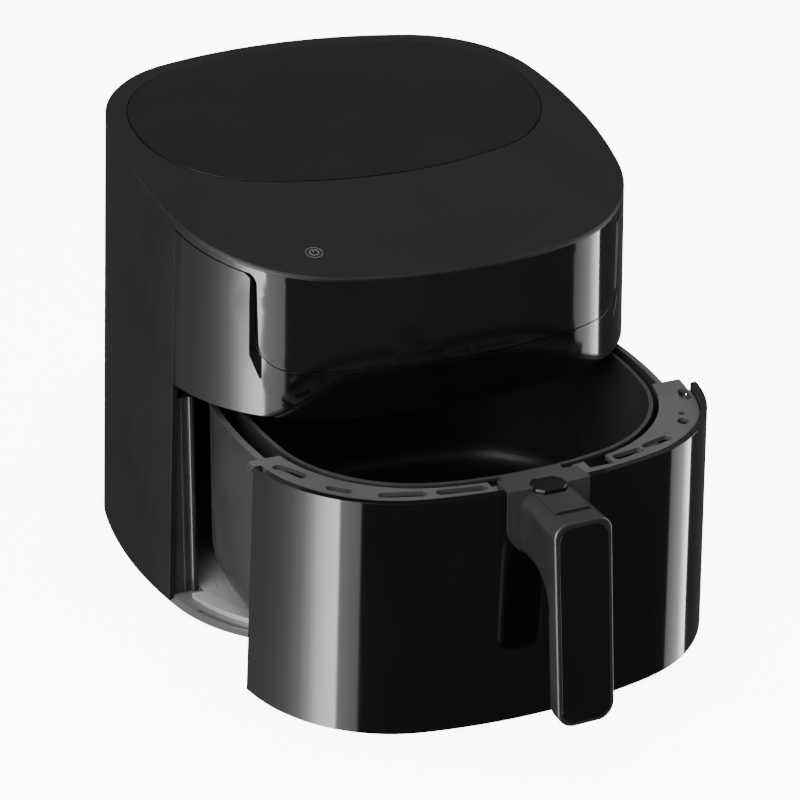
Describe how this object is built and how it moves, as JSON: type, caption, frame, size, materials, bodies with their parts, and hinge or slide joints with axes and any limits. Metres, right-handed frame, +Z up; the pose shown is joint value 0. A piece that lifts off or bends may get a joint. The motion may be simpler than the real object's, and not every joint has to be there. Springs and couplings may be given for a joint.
{
  "type": "air fryer",
  "caption": "Countertop air fryer with a rounded black casing, sloping top, front visor, and a pull-out drawer that holds a pan, a perforated basket and a handle with a release button.",
  "frame": {"origin": "on the table plane under the middle of the casing, where its left-right mid plane meets the mid line of the base", "axes": "+Z up, +Y towards the back, +X to the right when facing the front; the drawer pulls out along -Y"},
  "size_m": [0.3146, 0.4536, 0.281],
  "materials": {
    "matte_black": "fine matte, black",
    "gloss_black": "high gloss, black",
    "grey_plastic": "satin, dark grey",
    "rubber": "soft, dark",
    "nonstick_coat": "non-stick coating, dark grey",
    "nonstick_black": "non-stick coating, black",
    "bright_sheet": "plated sheet",
    "steel": "zinc plated",
    "heater_sheath": "dull, heat tinted",
    "aluminium": "stamped",
    "brass": "plain",
    "board": "green laminate",
    "component": "moulded",
    "wire_sleeve": "sleeved",
    "print_grey": "pad-printed",
    "copper_core": "wound and laminated"
  },
  "bodies": {
    "casing": {"air_duct": "component", "base_screws": "steel", "base_tray": "grey_plastic", "board_components": "component", "board_spacers": "component", "cavity_floor": "bright_sheet", "cavity_liner": "matte_black", "control_visor": "gloss_black", "display_module": "component", "food_guard": "steel", "front_pillars": "grey_plastic", "front_sill": "bright_sheet", "guard_hangers": "steel", "heater_clips": "steel", "heater_coil": "heater_sheath", "heating_chamber": "bright_sheet", "interlock_switch": "component", "motor_bearings": "brass", "motor_bracket": "steel", "motor_can": "steel", "motor_screws": "steel", "motor_stator": "copper_core", "outer_housing": "matte_black", "power_board": "board", "power_inlet_gland": "matte_black", "power_symbol": "print_grey", "rear_outlet_grille": "matte_black", "rubber_feet": "rubber", "temperature_probe": "steel", "thermal_cutout": "component", "top_cap": "matte_black", "top_insert": "matte_black", "touch_board": "board", "upper_front_band": "gloss_black", "wiring": "wire_sleeve"},
    "drawer": {"pan": "nonstick_coat", "drawer_front": "gloss_black", "drawer_frame": "grey_plastic", "frame_screws": "steel", "basket": "nonstick_black", "basket_bumpers": "rubber", "basket_screws": "steel", "handle_mount": "grey_plastic", "handle_body": "matte_black", "grip_inlay": "gloss_black", "neck_cover": "grey_plastic", "neck_screws": "steel", "button_spring": "steel", "latch_pin": "steel"},
    "button": {"release_button": "matte_black"},
    "latch": {"release_latch": "grey_plastic"},
    "rotor": {"motor_shaft": "steel", "hot_air_fan": "aluminium", "cooling_fan": "component", "fan_nut": "steel", "motor_rotor": "steel"},
    "plunger": {"interlock_plunger": "component"}
  },
  "joints": [
    {"name": "drawer_slide", "type": "slide", "parent": "casing", "child": "drawer", "axis": [0, -1, 0], "range_m": [-0.1127, 0.15]},
    {"name": "release_button", "type": "slide", "parent": "drawer", "child": "button", "axis": [0, 0, -1], "range_m": [0, 0.0018], "stiffness_N_per_m": 900, "springref_m": -0.0012, "deforming": ["button_spring"]},
    {"name": "latch_pivot", "type": "hinge", "parent": "drawer", "child": "latch", "pos_m": [0.004, -0.2397, 0.13], "axis": [1, 0, 0], "range_deg": [0, 20]},
    {"name": "fan_spin", "type": "hinge", "parent": "casing", "child": "rotor", "pos_m": [0, 0, 0.21], "axis": [0, 0, 1], "continuous": true},
    {"name": "interlock_plunger", "type": "slide", "parent": "casing", "child": "plunger", "axis": [0, 1, 0], "range_m": [0, 0.002], "stiffness_N_per_m": 400, "springref_m": -0.001}
  ],
  "couplings": [
    {"joint": "latch_pivot", "follows": "release_button", "rad_per_m": 193.93}
  ]
}
